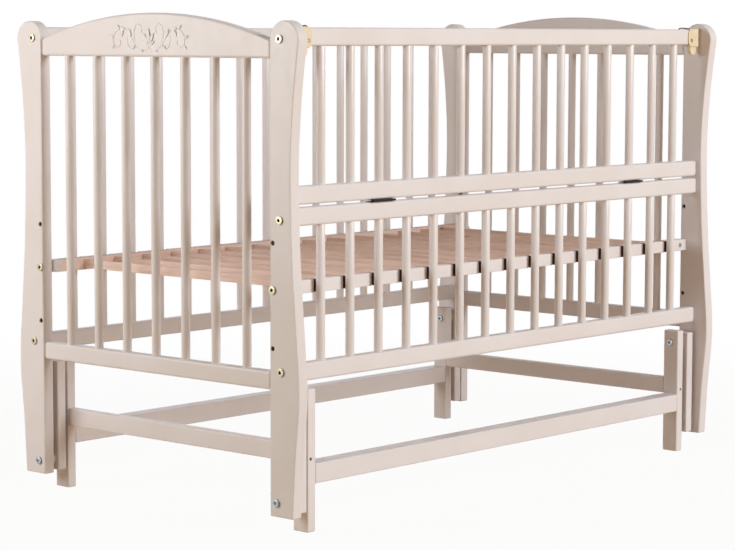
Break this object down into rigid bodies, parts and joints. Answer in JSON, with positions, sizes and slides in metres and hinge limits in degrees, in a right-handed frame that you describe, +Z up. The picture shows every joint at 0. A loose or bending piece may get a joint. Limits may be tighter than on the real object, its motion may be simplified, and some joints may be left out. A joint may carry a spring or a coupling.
{
  "type": "pendulum crib",
  "caption": "Slatted wooden crib with wavy posts, arched ends and a fold-down side, swinging on four arms hung inside a low stand.",
  "frame": {"origin": "on the floor under the middle of the crib", "axes": "+X along the crib towards the right end, -Y out of the side that folds down, +Z up"},
  "size_m": [1.2686, 0.729, 0.9016],
  "materials": {
    "cream_lacquer": "satin opaque lacquer",
    "raw_beech": "sanded, unfinished",
    "zinc": "zinc plated",
    "dark_bronze": "dark bronzed steel",
    "ivory_plastic": "moulded, satin gloss"
  },
  "bodies": {
    "stand": {"leg_front_left": "cream_lacquer", "leg_front_right": "cream_lacquer", "leg_back_left": "cream_lacquer", "leg_back_right": "cream_lacquer", "stand_rail_front": "cream_lacquer", "stand_rail_back": "cream_lacquer", "stand_cross_left": "cream_lacquer", "stand_cross_right": "cream_lacquer", "pivot_upper_front_left": "zinc", "pivot_upper_front_right": "zinc", "pivot_upper_back_left": "zinc", "pivot_upper_back_right": "zinc"},
    "arm_front_left": {"swing_arm_front_left": "cream_lacquer"},
    "arm_front_right": {"swing_arm_front_right": "cream_lacquer"},
    "arm_back_left": {"swing_arm_back_left": "cream_lacquer"},
    "arm_back_right": {"swing_arm_back_right": "cream_lacquer"},
    "crib": {"post_front_left": "cream_lacquer", "post_front_right": "cream_lacquer", "post_back_left": "cream_lacquer", "post_back_right": "cream_lacquer", "pivot_lower_front_left": "zinc", "pivot_lower_front_right": "zinc", "pivot_lower_back_left": "zinc", "pivot_lower_back_right": "zinc", "end_top_rail_left": "cream_lacquer", "end_top_rail_right": "cream_lacquer", "end_bottom_rail_left": "cream_lacquer", "end_bottom_rail_right": "cream_lacquer", "back_top_rail": "cream_lacquer", "back_bottom_rail": "cream_lacquer", "front_bottom_rail": "cream_lacquer", "hinge_rail_lower": "cream_lacquer", "base_rail_front": "raw_beech", "base_rail_back": "raw_beech", "slat_01": "raw_beech", "slat_02": "raw_beech", "slat_03": "raw_beech", "slat_04": "raw_beech", "slat_05": "raw_beech", "slat_06": "raw_beech", "slat_07": "raw_beech", "slat_08": "raw_beech", "slat_09": "raw_beech", "slat_10": "raw_beech", "slat_11": "raw_beech", "slat_12": "raw_beech", "slat_13": "raw_beech", "slat_14": "raw_beech", "slat_15": "raw_beech", "hinge_left_fixed": "dark_bronze", "hinge_right_fixed": "dark_bronze"},
    "drop_side": {"drop_top_rail": "cream_lacquer", "drop_hinge_rail": "cream_lacquer", "hinge_left_moving": "dark_bronze", "hinge_right_moving": "dark_bronze", "latch_left": "ivory_plastic", "latch_right": "ivory_plastic"},
    "tab_left": {"latch_tab_left": "ivory_plastic"},
    "tab_right": {"latch_tab_right": "ivory_plastic"}
  },
  "joints": [
    {"name": "swing_front_left", "type": "hinge", "parent": "stand", "child": "arm_front_left", "pos_m": [-0.5895, -0.3118, 0.228], "axis": [1, 0, 0], "range_deg": [-15, 15]},
    {"name": "swing_front_right", "type": "hinge", "parent": "stand", "child": "arm_front_right", "pos_m": [0.5895, -0.3118, 0.228], "axis": [1, 0, 0], "range_deg": [-15, 15]},
    {"name": "swing_back_left", "type": "hinge", "parent": "stand", "child": "arm_back_left", "pos_m": [-0.5895, 0.3118, 0.228], "axis": [1, 0, 0], "range_deg": [-15, 15]},
    {"name": "swing_back_right", "type": "hinge", "parent": "stand", "child": "arm_back_right", "pos_m": [0.5895, 0.3118, 0.228], "axis": [1, 0, 0], "range_deg": [-15, 15]},
    {"name": "crib_level", "type": "hinge", "parent": "arm_front_left", "child": "crib", "pos_m": [-0.5895, -0.3118, 0.059], "axis": [1, 0, 0], "range_deg": [-15, 15]},
    {"name": "drop_side_fold", "type": "hinge", "parent": "crib", "child": "drop_side", "pos_m": [0, -0.3362, 0.57125], "axis": [1, 0, 0], "range_deg": [0, 180]},
    {"name": "tab_left_lift", "type": "slide", "parent": "drop_side", "child": "tab_left", "axis": [0, 0, 1], "range_m": [0, 0.006], "stiffness_N_per_m": 60, "springref_m": -0.004},
    {"name": "tab_right_lift", "type": "slide", "parent": "drop_side", "child": "tab_right", "axis": [0, 0, 1], "range_m": [0, 0.006], "stiffness_N_per_m": 60, "springref_m": -0.004}
  ],
  "couplings": [
    {"joint": "swing_front_right", "follows": "swing_front_left", "ratio": 1},
    {"joint": "swing_back_left", "follows": "swing_front_left", "ratio": 1},
    {"joint": "swing_back_right", "follows": "swing_front_left", "ratio": 1},
    {"joint": "crib_level", "follows": "swing_front_left", "ratio": -1}
  ]
}
